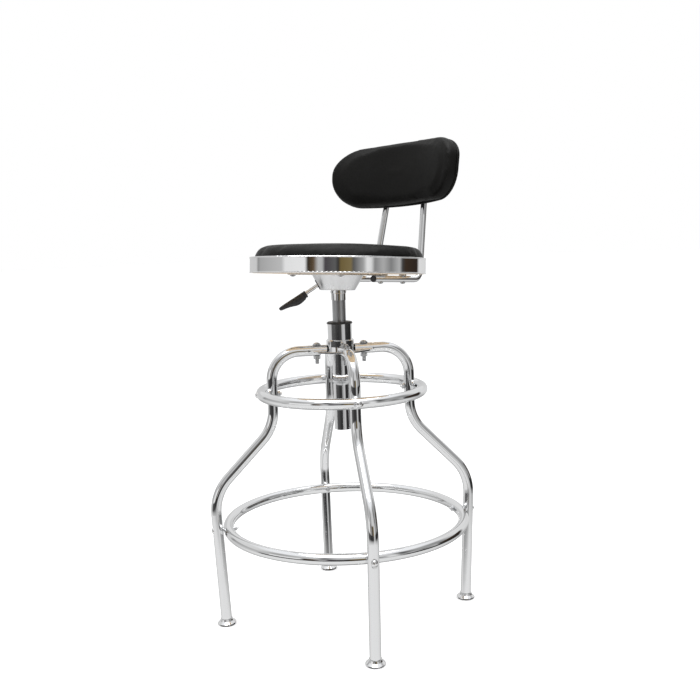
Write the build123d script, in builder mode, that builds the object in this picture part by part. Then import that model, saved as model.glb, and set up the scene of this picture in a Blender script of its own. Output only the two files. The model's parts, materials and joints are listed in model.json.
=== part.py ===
from build123d import *
from math import asin, atan, cos, degrees, radians, sin, sqrt, tan
import os

# Swivel stool: four chrome tube legs bolted to a hub, two foot rings, a gas lift,
# a tilted round seat in a chrome band, and a curved backrest on two rods.
# Millimetres and degrees. The floor is z = 0, the column stands on +Z, and the
# sitter faces -Y. Angles are counted from +X, seen from above.

os.makedirs("parts", exist_ok=True)

# ---- Driving dimensions ----
CLEARANCE = 0.2                 # gap between plain fitted pieces
RUNNING = 0.06                  # radial gap of sliding and turning fits

TUBE_OD = 22.2                  # legs and foot rings
TUBE_WALL = 1.5
BASE_TURN = 6.5                 # turn of the leg cross against the seat
LEG_ANGLES = {
    "leg_rear_left": 45 + BASE_TURN,
    "leg_rear_right": 135 + BASE_TURN,
    "leg_front_right": 225 + BASE_TURN,
    "leg_front_left": 315 + BASE_TURN,
}
FIRST_LEG = 45 + BASE_TURN
ARM_Z = 571.0                   # centre height of the horizontal arms
ARM_INNER_R = 30.0
KNEE_R = 146.5                  # radius of the vertical stretch
KNEE_Z = 415.0                  # where the leg splays out
SPLAY_Z = 282.5                 # where it turns down again
FOOT_R = 263.4                  # leg centre at the floor
LEG_LEAN = 2.52                 # inward lean of the lowest stretch
LEG_BENDS = [58.0, 90.0, 100.0]
LEG_END_S = 5.0                 # leg end above the floor, along the leg

UPPER_RING_R = 168.9
UPPER_RING_Z = 484.5
LOWER_RING_R = 250.0
LOWER_RING_Z = 204.7
DIMPLE_R = 16.0
DIMPLE_DEPTH = 3.5
DIMPLE_SEAT = 1.45              # bolt head seat above the dimple's bottom
DRAIN_HOLE_R = 2.0

RING_BOLT_R = 3.0
RING_BOLT_HEAD_R = 6.4
RING_NUT_AF = 10.0
CLAMP_BOLT_AT = 50.0            # radius of the leg bolts on the hub
CLAMP_BOLT_R = 4.0
CLAMP_NUT_AF = 13.0
HOLE_SLACK = 0.25               # radial, bolt holes
RING_HOLE_SLACK = 0.5

HUB_R = 69.0
HUB_THICK = 4.0
COLLAR_R = 29.0
COLLAR_TOP = 592.0
SLEEVE_R = 25.4
SLEEVE_WALL = 1.6
SLEEVE_TOP = 625.0
LOWER_TUBE_R = 17.5
LOWER_TUBE_WALL = 1.5
LOWER_TUBE_TOP = 598.0
COLUMN_BOTTOM = 402.0
BUSH_FLANGE_R = 27.0
BUSH_TOP = 629.0

CYLINDER_R = 14.0
CYLINDER_WALL = 1.5
CYLINDER_BOTTOM = 478.0
TAPER_START = 674.0
CYLINDER_TOP = 708.0
TAPER_TOP_R = 13.0
ROD_R = 5.0
ROD_BOTTOM = 404.0
PISTON_BOTTOM = 576.0
PISTON_TOP = 588.0
CAP_BOTTOM = 407.0
CAP_TOP = 410.0

SEAT_Z = 728.5                  # underside of the seat board on the column axis
SEAT_TILT = 3.45                # rear edge down
SEAT_R = 182.5
BAND_HEIGHT = 32.7
BAND_WALL = 1.0
BEAD_R = 1.6
BOARD_THICK = 12.0
CROWN = 61.7                    # top of the cushion above the board's underside
PLATE_SIDE = 152.0
PLATE_THICK = 3.0
FRONT_SCREW = 66.0              # front mounting screws, from the centre lines

DISH_TOP_R = 53.5
DISH_BOTTOM_R = 36.0
DISH_DEPTH = 31.0
DISH_WALL = 2.0
SOCKET_R = 15.5
SOCKET_BOTTOM = 674.0
SOCKET_FLANGE_R = 16.75
SOCKET_FLANGE = (688.0, 693.3)
SOCKET_TOP = 707.0

LEVER_ANGLE = 225.0             # to the sitter's right, forward
LEVER_R = 4.0
LEVER_SLOPE = 34.7
LEVER_LEVEL = -8.6              # rod centre under the seat board, inside the dish
LEVER_BEND_AT = 19.3
PIVOT_AT = 26.0
PIVOT_R = 2.0
HANDLE_START = 65.6
HANDLE_END = 119.4
HANDLE_WIDTH = 20.0

BACK_ROD_R = 7.0
BACK_ROD_X = 63.9
BACK_ROD_TOP_X = 45.8
BACK_ROD_START_Y = 40.0
BACK_ROD_CORNER_Y = 198.0
BACK_ROD_BEND = 24.0
ROD_SCREW_YS = (62.0, 138.0)
BACK_LEAN = 13.14
BACK_Z = 934.3                  # mid-height of the backrest
BACK_WIDTH = 331.5              # chord on the arc halfway through the backrest
BACK_HEIGHT = 139.4
BACK_CORNER_R = 67.6
BACK_OUTER_R = 341.8            # plan radius of the board's rear face
BACK_BOARD = 8.0
BACK_PAD = 28.4
BACK_PAD_EDGE = 12.0            # rounding of the pad's front edge
BACK_BOARD_EDGE = 2.5
BACK_REAR = -5.95               # board's rear face from the rods' centre plane
TAB_WIDTH = 42.0
TAB_HEIGHT = 56.0

# ---- Planes and small helpers ----
seat_plane = Plane(
    origin=(0, 0, SEAT_Z), x_dir=(1, 0, 0),
    z_dir=(0, sin(radians(SEAT_TILT)), cos(radians(SEAT_TILT))),
)


def radial(angle, base=Plane.XY):
    """Upright plane through the z axis of a base plane: x runs outward, y runs up."""
    turned = Plane(base.location * Rot(0, 0, angle))
    return Plane(origin=turned.origin, x_dir=turned.x_dir, z_dir=-turned.y_dir)


def outline(plane, points):
    """Closed straight-sided sketch through points on a plane."""
    with BuildSketch(plane) as shape:
        with BuildLine():
            Polyline(*points, close=True)
        make_face()
    return shape.sketch


def rings(plane, *circles):
    """Flat discs and rings: each entry is (outer radius, inner radius)."""
    with BuildSketch(plane) as shape:
        for outer, inner in circles:
            Circle(outer)
            if inner:
                Circle(inner, mode=Mode.SUBTRACT)
    return shape.sketch


def rod_between(start, end, radius):
    """Plain round rod from one point to another."""
    start, end = Vector(*start), Vector(*end)
    with BuildPart() as rod:
        with BuildSketch(Plane(origin=start, z_dir=end - start)):
            Circle(radius)
        extrude(amount=(end - start).length)
    return rod.part


def dome_middle(radius, low, high):
    """A middle point of the arc from (radius, low) to (0, high) centred on the axis."""
    centre = (high ** 2 - low ** 2 - radius ** 2) / (2 * (high - low))
    half = atan(radius / (low - centre)) / 2
    return (high - centre) * sin(half), centre + (high - centre) * cos(half)


def dome_bolt(shank_r, shank, head_r, head):
    """Dome-headed bolt; the head's seat is z = 0 and the shank runs down -Z."""
    neck = 1.2
    with BuildPart() as bolt:
        with BuildSketch(radial(0)):
            with BuildLine():
                Polyline((0, head), (0, -shank), (shank_r - 0.6, -shank), (shank_r, -shank + 0.6))
                Polyline((shank_r, -shank + 0.6), (shank_r, 0), (head_r, 0), (head_r, neck))
                ThreePointArc((head_r, neck), dome_middle(head_r, neck, head), (0, head))
            make_face()
        revolve(axis=Axis.Z)
    return bolt.part


def hex_nut(across_flats, height, bore_r):
    """Hexagon nut standing on z = 0, with its bore clear of the thread."""
    with BuildPart() as nut:
        with BuildSketch():
            RegularPolygon(across_flats / sqrt(3), 6)
            Circle(bore_r, mode=Mode.SUBTRACT)
        extrude(amount=height)
    return nut.part


def at_legs(shape):
    """The same solid at all four legs, from one made at angle 0."""
    with BuildPart() as group:
        for angle in LEG_ANGLES.values():
            add(shape.rotate(Axis.Z, angle))
    return group.part


# ---- Legs ----
tube_r = TUBE_OD / 2
bore_r = tube_r - TUBE_WALL
lean = tan(radians(LEG_LEAN))
leg_axis = Plane(
    origin=(FOOT_R, 0, 0), x_dir=(cos(radians(LEG_LEAN)), 0, -sin(radians(LEG_LEAN))),
    z_dir=(sin(radians(LEG_LEAN)), 0, cos(radians(LEG_LEAN))),
)
leg_end_z = LEG_END_S * cos(radians(LEG_LEAN))
leg_points = [
    (ARM_INNER_R, ARM_Z),
    (KNEE_R, ARM_Z),
    (KNEE_R, KNEE_Z),
    (FOOT_R + SPLAY_Z * lean, SPLAY_Z),
    (FOOT_R + leg_end_z * lean, leg_end_z),
]
slot_half = HUB_THICK / 2 + CLEARANCE
lower_joint_s = LOWER_RING_Z / cos(radians(LEG_LEAN))
lower_dimple = leg_axis * Pos(tube_r + DIMPLE_R - DIMPLE_DEPTH, 0, lower_joint_s)
lower_hole = leg_axis * Pos(0, 0, lower_joint_s) * Rot(0, 90, 0)
lower_leg_rod = rod_between(
    (leg_axis * Pos(0, 0, lower_joint_s - 30)).position,
    (leg_axis * Pos(0, 0, lower_joint_s + 30)).position, tube_r,
)
lower_backing = (lower_dimple * Sphere(DIMPLE_R + TUBE_WALL)) & lower_leg_rod

with BuildPart() as leg_blank:
    with BuildLine(radial(0)) as leg_path:
        FilletPolyline(*leg_points, radius=LEG_BENDS)
    with BuildSketch(Plane(origin=leg_path.line @ 0, z_dir=leg_path.line % 0)):
        Circle(tube_r)
        Circle(bore_r, mode=Mode.SUBTRACT)
    sweep()
    # the lower half of the arm's end is cut back at a slant, the upper half meets the collar
    with BuildSketch(radial(0)):
        with BuildLine():
            Polyline((0, ARM_Z - slot_half), (ARM_INNER_R + 6, ARM_Z - slot_half),
                     (ARM_INNER_R + 16, ARM_Z - tube_r - 1), (0, ARM_Z - tube_r - 1), close=True)
        make_face()
    extrude(amount=tube_r + 1, both=True, mode=Mode.SUBTRACT)
    # slot over the hub plate
    with BuildSketch(radial(0)):
        with Locations(((HUB_R + CLEARANCE) / 2, ARM_Z)):
            Rectangle(HUB_R + CLEARANCE, 2 * slot_half)
    extrude(amount=tube_r + 1, both=True, mode=Mode.SUBTRACT)
    # clamp bolt hole
    with BuildSketch(Plane.XY.offset(ARM_Z)):
        with Locations((CLAMP_BOLT_AT, 0)):
            Circle(CLAMP_BOLT_R + HOLE_SLACK)
    extrude(amount=tube_r + 1, both=True, mode=Mode.SUBTRACT)
    # upper ring bolt hole, across the vertical stretch
    with BuildSketch(Plane.YZ.offset(KNEE_R)):
        with Locations((0, UPPER_RING_Z)):
            Circle(RING_BOLT_R + HOLE_SLACK)
    extrude(amount=tube_r + 1, both=True, mode=Mode.SUBTRACT)
    # pressed dimple and bolt hole on the outside of the lowest stretch
    add(lower_backing)
    with Locations(lower_dimple):
        Sphere(DIMPLE_R, mode=Mode.SUBTRACT)
    with Locations(lower_hole):
        Cylinder(RING_BOLT_R + HOLE_SLACK, 2 * tube_r + 2, mode=Mode.SUBTRACT)

pieces = {}
for name, angle in LEG_ANGLES.items():
    with BuildPart() as leg:
        add(leg_blank.part.rotate(Axis.Z, angle))
    pieces[name] = leg

# ---- Foot glides: a flared cup over each leg end and a pad that plugs the tube ----
cup_top, cup_bottom = 12.5, 2.6
with BuildPart() as glide_cup:
    revolve(outline(radial(0, leg_axis), [
        (12.9, cup_top), (14.4, 8.5), (19.4, 4.2), (19.7, cup_bottom), (18.2, cup_bottom),
        (tube_r + CLEARANCE, 5.6), (tube_r + CLEARANCE, cup_top),
    ]), axis=Axis(leg_axis.origin, leg_axis.z_dir))
with BuildPart() as glide_pad:
    revolve(outline(radial(0, leg_axis), [
        (0, -3), (17.4, -3), (17.4, 2.2), (bore_r + 1, LEG_END_S - CLEARANCE),
        (bore_r - CLEARANCE, LEG_END_S - CLEARANCE), (bore_r - CLEARANCE, 20), (7, 22), (0, 22),
    ]), axis=Axis(leg_axis.origin, leg_axis.z_dir))
    split(bisect_by=Plane.XY, keep=Keep.TOP)
with BuildPart() as foot_glide_cups:
    add(at_legs(glide_cup.part))
with BuildPart() as foot_glide_pads:
    add(at_legs(glide_pad.part))

# ---- Foot rings ----
def ring_quarter(radius, minor, height, dimple, press_r):
    """Quarter of a solid round ring about +X, with an optional pressed hollow outside."""
    with BuildPart() as quarter:
        with BuildSketch(Plane.XZ.rotated((0, 0, -45))):
            with Locations((radius, height)):
                Circle(minor)
        revolve(axis=Axis.Z, revolution_arc=90)
        if dimple:
            with Locations(dimple):
                Sphere(press_r, mode=Mode.SUBTRACT)
    return quarter.part


def foot_ring(radius, height, hole, dimple=None):
    """Hollow tube ring with a bolt hole at each leg and drain holes underneath."""
    with BuildPart() as quarter:
        add(ring_quarter(radius, tube_r, height, dimple, DIMPLE_R))
        add(ring_quarter(radius, bore_r, height, dimple, DIMPLE_R + TUBE_WALL), mode=Mode.SUBTRACT)
        with Locations(hole):
            Cylinder(RING_BOLT_R + RING_HOLE_SLACK, 2 * tube_r + 2, mode=Mode.SUBTRACT)
        with Locations(Rot(0, 0, 38) * Pos(radius, 0, height - tube_r)):
            Cylinder(DRAIN_HOLE_R, 2 * TUBE_WALL + 2, mode=Mode.SUBTRACT)
    # the quarters' curved faces, without their flat ends, close up into one shell
    skin = [face for angle in LEG_ANGLES.values() for face in quarter.part.rotate(Axis.Z, angle).faces()
            if face.geom_type != GeomType.PLANE]
    with BuildPart() as ring:
        add(Solid(Shell(skin)))
    return ring


upper_foot_ring = foot_ring(UPPER_RING_R, UPPER_RING_Z,
                            Pos(UPPER_RING_R, 0, UPPER_RING_Z) * Rot(0, 90, 0),
                            Pos(UPPER_RING_R + tube_r + DIMPLE_R - DIMPLE_DEPTH, 0, UPPER_RING_Z))
lower_leg_r = FOOT_R + LOWER_RING_Z * lean
lower_foot_ring = foot_ring(LOWER_RING_R, LOWER_RING_Z,
                            leg_axis * Pos(LOWER_RING_R - lower_leg_r, 0, lower_joint_s) * Rot(0, 90, 0))

# ---- Ring bolts and nuts ----
upper_head_r = UPPER_RING_R + tube_r - DIMPLE_DEPTH + DIMPLE_SEAT
upper_nut_r = KNEE_R - tube_r
upper_bolt = dome_bolt(RING_BOLT_R, upper_head_r - upper_nut_r + 9, RING_BOLT_HEAD_R, 4.6)
nut_blank = hex_nut(RING_NUT_AF, 5, RING_BOLT_R + 0.05)
with BuildPart() as upper_ring_bolts:
    add(at_legs(Pos(upper_head_r, 0, UPPER_RING_Z) * Rot(0, 90, 0) * upper_bolt))
with BuildPart() as upper_ring_nuts:
    add(at_legs(Pos(upper_nut_r - 0.1, 0, UPPER_RING_Z) * Rot(0, -90, 0) * nut_blank))

lower_head_at = tube_r - DIMPLE_DEPTH + DIMPLE_SEAT
lower_nut_r = LOWER_RING_R - tube_r
lower_bolt_length = lower_leg_r + lower_head_at - lower_nut_r + 9
lower_bolt = dome_bolt(RING_BOLT_R, lower_bolt_length, RING_BOLT_HEAD_R, 4.6)
with BuildPart() as lower_ring_bolts:
    add(at_legs(leg_axis * Pos(lower_head_at, 0, lower_joint_s) * Rot(0, 90, 0) * lower_bolt))
with BuildPart() as lower_ring_nuts:
    add(at_legs(leg_axis * Pos(lower_nut_r - lower_leg_r - 0.4, 0, lower_joint_s)
                * Rot(0, -90, 0) * nut_blank))

# ---- Hub and column ----
hub_top = ARM_Z + HUB_THICK / 2
with BuildPart() as hub_plate:
    with BuildSketch(Plane.XY.offset(ARM_Z - HUB_THICK / 2)):
        Circle(HUB_R)
        Circle(LOWER_TUBE_R + CLEARANCE / 2, mode=Mode.SUBTRACT)
        with PolarLocations(CLAMP_BOLT_AT, 4, start_angle=FIRST_LEG):
            Circle(CLAMP_BOLT_R + HOLE_SLACK, mode=Mode.SUBTRACT)
    extrude(amount=HUB_THICK)
    fillet(edges().filter_by(GeomType.CIRCLE).sort_by(SortBy.RADIUS)[-2:], radius=0.8)

with BuildPart() as hub_collar:
    with BuildSketch(Plane.XY.offset(hub_top)):
        Circle(COLLAR_R)
        Circle(SLEEVE_R + CLEARANCE / 2, mode=Mode.SUBTRACT)
    extrude(amount=COLLAR_TOP - hub_top)
    chamfer(edges().group_by(Axis.Z)[-1].sort_by(SortBy.RADIUS)[-1], length=1.6)

with BuildPart() as column_sleeve:
    extrude(rings(Plane.XY.offset(hub_top), (SLEEVE_R, SLEEVE_R - SLEEVE_WALL)),
            amount=SLEEVE_TOP - hub_top)

with BuildPart() as column_lower_tube:
    extrude(rings(Plane.XY.offset(COLUMN_BOTTOM), (LOWER_TUBE_R, LOWER_TUBE_R - LOWER_TUBE_WALL)),
            amount=LOWER_TUBE_TOP - COLUMN_BOTTOM)

with BuildPart() as column_end_cap:
    extrude(rings(Plane.XY.offset(CAP_BOTTOM),
                  (LOWER_TUBE_R - LOWER_TUBE_WALL - CLEARANCE / 2, ROD_R + RUNNING)),
            amount=CAP_TOP - CAP_BOTTOM)

guide_r = CYLINDER_R + RUNNING
with BuildPart() as column_bush:
    revolve(outline(radial(0), [
        (guide_r, BUSH_TOP - 1), (guide_r + 1, BUSH_TOP), (BUSH_FLANGE_R - 2, BUSH_TOP),
        (BUSH_FLANGE_R, BUSH_TOP - 2), (BUSH_FLANGE_R, SLEEVE_TOP),
        (SLEEVE_R - SLEEVE_WALL - 0.1, SLEEVE_TOP), (SLEEVE_R - SLEEVE_WALL - 0.1, LOWER_TUBE_TOP + 1),
        (LOWER_TUBE_R - LOWER_TUBE_WALL - 0.1, LOWER_TUBE_TOP + 1),
        (LOWER_TUBE_R - LOWER_TUBE_WALL - 0.1, 562), (guide_r, 562),
    ]), axis=Axis.Z)

# ---- Clamp bolts: leg tops to the hub plate ----
washer_thick = 1.6
clamp_seat_z = ARM_Z + tube_r + washer_thick
clamp_bolt_blank = dome_bolt(CLAMP_BOLT_R, 2 * tube_r + washer_thick + 17, 7.4, 4.2)
with BuildPart() as leg_clamp_bolts:
    add(at_legs(Pos(CLAMP_BOLT_AT, 0, clamp_seat_z) * clamp_bolt_blank))
with BuildPart() as leg_clamp_washers:
    with BuildSketch(Plane.XY.offset(ARM_Z + tube_r)):
        with PolarLocations(CLAMP_BOLT_AT, 4, start_angle=FIRST_LEG):
            Circle(8.6)
            Circle(CLAMP_BOLT_R + 0.2, mode=Mode.SUBTRACT)
    extrude(amount=washer_thick)
with BuildPart() as leg_clamp_nuts:
    add(at_legs(Pos(CLAMP_BOLT_AT, 0, ARM_Z - tube_r - 6.6) * hex_nut(CLAMP_NUT_AF, 6.5, CLAMP_BOLT_R + 0.05)))

# ---- Thrust bearing, bump ring and rod clip at the column's foot ----
race_r, race_bore, ball_r, ball_circle, ball_count = 13.0, 5.3, 2.0, 9.2, 9
lower_race_top = CAP_TOP + 2.2
upper_race_bottom = lower_race_top + 2 * ball_r - 1.2
with BuildPart() as bearing_lower_race:
    extrude(rings(Plane.XY.offset(CAP_TOP), (race_r, race_bore)), amount=2.2)
    with Locations((0, 0, lower_race_top + ball_r - 0.6)):
        Torus(ball_circle, ball_r + 0.05, mode=Mode.SUBTRACT)
with BuildPart() as bearing_balls:
    with Locations((0, 0, lower_race_top + ball_r - 0.6)):
        with PolarLocations(ball_circle, ball_count):
            Sphere(ball_r)
with BuildPart() as bearing_upper_race:
    extrude(rings(Plane.XY.offset(upper_race_bottom), (race_r, ROD_R + 0.02)), amount=2.2)
    with Locations((0, 0, lower_race_top + ball_r - 0.6)):
        Torus(ball_circle, ball_r + 0.05, mode=Mode.SUBTRACT)
bump_bottom = upper_race_bottom + 2.2
with BuildPart() as bump_ring:
    revolve(outline(radial(0), [
        (ROD_R + 0.02, bump_bottom), (12.5, bump_bottom), (12.5, bump_bottom + 8),
        (10.5, bump_bottom + 11), (ROD_R + 0.02, bump_bottom + 11),
    ]), axis=Axis.Z)
clip_z = CAP_BOTTOM - 1.3
with BuildPart() as rod_retaining_clip:
    with BuildSketch(Plane.XY.offset(clip_z)):
        Circle(8.5)
        Circle(ROD_R - 0.7, mode=Mode.SUBTRACT)
        with Locations((0, -8)):
            Rectangle(6.4, 10, mode=Mode.SUBTRACT)
    extrude(amount=1.2)

# ---- Gas lift ----
with BuildPart() as piston_rod:
    revolve(outline(radial(0), [
        (0, ROD_BOTTOM), (ROD_R - 1, ROD_BOTTOM), (ROD_R, ROD_BOTTOM + 1), (ROD_R, clip_z - 0.1),
        (ROD_R - 0.8, clip_z - 0.1), (ROD_R - 0.8, clip_z + 1.25), (ROD_R, clip_z + 1.25),
        (ROD_R, PISTON_BOTTOM - 0.1), (ROD_R - 1.5, PISTON_BOTTOM - 0.1),
        (ROD_R - 1.5, PISTON_TOP + 2), (0, PISTON_TOP + 2),
    ]), axis=Axis.Z)
piston_r = CYLINDER_R - CYLINDER_WALL - RUNNING
with BuildPart() as piston:
    revolve(outline(radial(0), [
        (ROD_R - 1.5, PISTON_BOTTOM), (piston_r, PISTON_BOTTOM), (piston_r, PISTON_BOTTOM + 4),
        (piston_r - 1.2, PISTON_BOTTOM + 4), (piston_r - 1.2, PISTON_TOP - 4),
        (piston_r, PISTON_TOP - 4), (piston_r, PISTON_TOP), (ROD_R - 1.5, PISTON_TOP),
    ]), axis=Axis.Z)
cylinder_bore = CYLINDER_R - CYLINDER_WALL
valve_r = 2.5
with BuildPart() as gas_cylinder:
    revolve(outline(radial(0), [
        (cylinder_bore, CYLINDER_BOTTOM), (CYLINDER_R - 0.6, CYLINDER_BOTTOM),
        (CYLINDER_R, CYLINDER_BOTTOM + 0.6), (CYLINDER_R, TAPER_START), (TAPER_TOP_R, CYLINDER_TOP - 1),
        (TAPER_TOP_R - 1, CYLINDER_TOP), (valve_r + RUNNING, CYLINDER_TOP),
        (valve_r + RUNNING, CYLINDER_TOP - 12), (11, CYLINDER_TOP - 12), (cylinder_bore - 1, TAPER_START),
        (cylinder_bore, TAPER_START - 4),
    ]), axis=Axis.Z)
with BuildPart() as cylinder_end_guide:
    revolve(outline(radial(0), [
        (ROD_R + RUNNING, CYLINDER_BOTTOM + 1), (cylinder_bore - 0.02, CYLINDER_BOTTOM + 1),
        (cylinder_bore - 0.02, CYLINDER_BOTTOM + 14), (ROD_R + RUNNING, CYLINDER_BOTTOM + 14),
    ]), axis=Axis.Z)
valve_top = 715.6
with BuildPart() as valve_pin:
    revolve(outline(radial(0), [
        (0, CYLINDER_TOP - 16), (valve_r, CYLINDER_TOP - 16), (valve_r, valve_top - 1.5),
        (valve_r - 1.5, valve_top), (0, valve_top),
    ]), axis=Axis.Z)

# ---- Seat mechanism: taper socket, dish and mounting plate ----
taper = (CYLINDER_R - TAPER_TOP_R) / (CYLINDER_TOP - 1 - TAPER_START)
socket_bore_top = CYLINDER_R - (SOCKET_TOP - TAPER_START) * taper
with BuildPart() as taper_socket:
    revolve(outline(radial(0), [
        (CYLINDER_R + 0.02, SOCKET_BOTTOM), (SOCKET_R, SOCKET_BOTTOM), (SOCKET_R, SOCKET_FLANGE[0]),
        (SOCKET_FLANGE_R, SOCKET_FLANGE[0] + 1), (SOCKET_FLANGE_R, SOCKET_FLANGE[1]),
        (SOCKET_R, SOCKET_FLANGE[1]), (SOCKET_R, SOCKET_TOP), (socket_bore_top + 0.02, SOCKET_TOP),
    ]), axis=Axis.Z)

dish_top = -PLATE_THICK
dish_bottom = dish_top - DISH_DEPTH
lever_plane = radial(LEVER_ANGLE, seat_plane)
seat_axis = Axis(seat_plane.origin, seat_plane.z_dir)
lever_drop = tan(radians(LEVER_SLOPE))


def lever_height(along):
    """Height of the sloping part of the lever rod, at a distance from the column."""
    return LEVER_LEVEL - (along - LEVER_BEND_AT) * lever_drop


flank = (DISH_TOP_R - DISH_BOTTOM_R) / DISH_DEPTH
slot_at = 43.2
slot_plane = Plane(
    origin=lever_plane.from_local_coords(Vector(slot_at, lever_height(slot_at) + 1.5, 0)),
    x_dir=lever_plane.z_dir, z_dir=lever_plane.x_dir,
)
slot_wide, slot_high, slot_rim = 12.0, 15.0, 2.0


def dish_shell(out, wall):
    """The dish's flank and floor as a shell, moved outward and with its own wall."""
    return [
        (0, dish_bottom - out), (DISH_BOTTOM_R + out, dish_bottom - out), (DISH_TOP_R + out, dish_top),
        (DISH_TOP_R + out - wall, dish_top), (DISH_BOTTOM_R + out - wall, dish_bottom - out + wall),
        (0, dish_bottom - out + wall),
    ]


with BuildPart() as mechanism_dish:
    revolve(outline(radial(0, seat_plane), dish_shell(0, DISH_WALL)), axis=seat_axis)
    bottom_edge = edges().filter_by(GeomType.CIRCLE).group_by(SortBy.RADIUS)
    fillet([edge for group in bottom_edge for edge in group
            if abs(edge.radius - DISH_BOTTOM_R) < 0.01], radius=3)
    extrude(rings(Plane.XY.offset(SOCKET_FLANGE[0]), (SOCKET_R + 0.15, 0)), amount=12, mode=Mode.SUBTRACT)
    with BuildSketch(slot_plane):
        RectangleRounded(slot_wide + 2 * slot_rim, slot_high + 2 * slot_rim, 3)
    extrude(amount=16, both=True, mode=Mode.SUBTRACT)

with BuildPart() as lever_grommet:
    with BuildSketch(slot_plane):
        RectangleRounded(slot_wide + 2 * slot_rim - 0.2, slot_high + 2 * slot_rim - 0.2, 2.9)
        RectangleRounded(slot_wide, slot_high, 2, mode=Mode.SUBTRACT)
    extrude(amount=12, both=True)
    with BuildSketch(radial(0, seat_plane)) as grommet_band:
        with BuildLine():
            Polyline((DISH_BOTTOM_R - 3.5, dish_bottom), (DISH_BOTTOM_R + 1, dish_bottom),
                     (DISH_TOP_R + 1, dish_top - 0.1), (DISH_TOP_R - 3.5, dish_top - 0.1), close=True)
        make_face()
    revolve(axis=seat_axis, mode=Mode.INTERSECT)

back_sin, back_cos = sin(radians(BACK_LEAN)), cos(radians(BACK_LEAN))
with BuildPart() as mount_plate:
    with BuildSketch(seat_plane.offset(-PLATE_THICK)):
        RectangleRounded(PLATE_SIDE, PLATE_SIDE, 8)
        with Locations((FRONT_SCREW, -FRONT_SCREW), (-FRONT_SCREW, -FRONT_SCREW),
                       (BACK_ROD_X, ROD_SCREW_YS[0]), (-BACK_ROD_X, ROD_SCREW_YS[0])):
            Circle(3.3, mode=Mode.SUBTRACT)
    extrude(amount=PLATE_THICK)

# ---- Seat board, band, cushion and fasteners ----
screw_spots = [(FRONT_SCREW, -FRONT_SCREW), (-FRONT_SCREW, -FRONT_SCREW)]
rod_spots = [(side * BACK_ROD_X, y) for y in ROD_SCREW_YS for side in (1, -1)]
t_nut_r = 4.4
bead_at = SEAT_R - BEAD_R
board_r = bead_at - BEAD_R - CLEARANCE
with BuildPart() as seat_board:
    with BuildSketch(seat_plane.offset(0.05)):
        Circle(board_r)
        with Locations(*screw_spots, *rod_spots):
            Circle(t_nut_r + 0.1, mode=Mode.SUBTRACT)
    extrude(amount=BOARD_THICK)
    with BuildSketch(seat_plane.offset(BOARD_THICK + 0.05 - 1.4)):
        with Locations(*screw_spots, *rod_spots):
            Circle(10.2)
    extrude(amount=1.4, mode=Mode.SUBTRACT)

with BuildPart() as t_nuts:
    with BuildSketch(seat_plane.offset(0.4)):
        with Locations(*screw_spots, *rod_spots):
            Circle(t_nut_r)
            Circle(3.05, mode=Mode.SUBTRACT)
    extrude(amount=BOARD_THICK - 0.4)
    with BuildSketch(seat_plane.offset(BOARD_THICK + 0.05 - 1.3)):
        with Locations(*screw_spots, *rod_spots):
            Circle(10)
            Circle(3.05, mode=Mode.SUBTRACT)
    extrude(amount=1.3)

wall_outer = SEAT_R - 0.8
with BuildPart() as seat_band:
    with BuildSketch(radial(0, seat_plane)):
        with Locations((wall_outer - BAND_WALL / 2, BAND_HEIGHT / 2)):
            Rectangle(BAND_WALL, BAND_HEIGHT - 2 * BEAD_R)
        with Locations((bead_at, BEAD_R), (bead_at, BAND_HEIGHT - BEAD_R)):
            Circle(BEAD_R)
    revolve(axis=seat_axis)

cushion_r = board_r
with BuildPart() as seat_cushion:
    with BuildSketch(radial(0, seat_plane)):
        with BuildLine():
            Polyline((0, CROWN), (0, BOARD_THICK + 0.3), (cushion_r, BOARD_THICK + 0.3),
                     (cushion_r, BAND_HEIGHT + 1.5))
            ThreePointArc((cushion_r, BAND_HEIGHT + 1.5), (cushion_r - 5, 46.5), (cushion_r - 19, 54.5))
            ThreePointArc((cushion_r - 19, 54.5), dome_middle(cushion_r - 19, 54.5, CROWN), (0, CROWN))
        make_face()
    revolve(axis=seat_axis)

plate_screw = dome_bolt(3.0, PLATE_THICK + BOARD_THICK - 3, 6.2, 3.8)
with BuildPart() as plate_screws:
    for x, y in screw_spots:
        add(seat_plane * Pos(x, y, -PLATE_THICK - 0.05) * Rot(180, 0, 0) * plate_screw)

# ---- Backrest rods ----
rod_z = -PLATE_THICK - BACK_ROD_R - 0.1          # rod centre under the seat board
seat_sin, seat_cos = sin(radians(SEAT_TILT)), cos(radians(SEAT_TILT))
corner = seat_plane.from_local_coords(Vector(0, BACK_ROD_CORNER_Y / seat_cos, rod_z))
rise = BACK_Z - corner.Z
back_y = corner.Y + rise * back_sin / back_cos   # rods' centre plane at the backrest's middle
rod_end_rise = (rise + TAB_HEIGHT / 2 + 6) / back_cos


def back_rod_points(side):
    """Start, corner and end of one backrest rod."""
    start = seat_plane.from_local_coords(Vector(side * BACK_ROD_X, BACK_ROD_START_Y, rod_z))
    bend = Vector(side * BACK_ROD_X, corner.Y, corner.Z)
    end = Vector(side * BACK_ROD_TOP_X, corner.Y + rod_end_rise * back_sin,
                 corner.Z + rod_end_rise * back_cos)
    return start, bend, end


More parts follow.
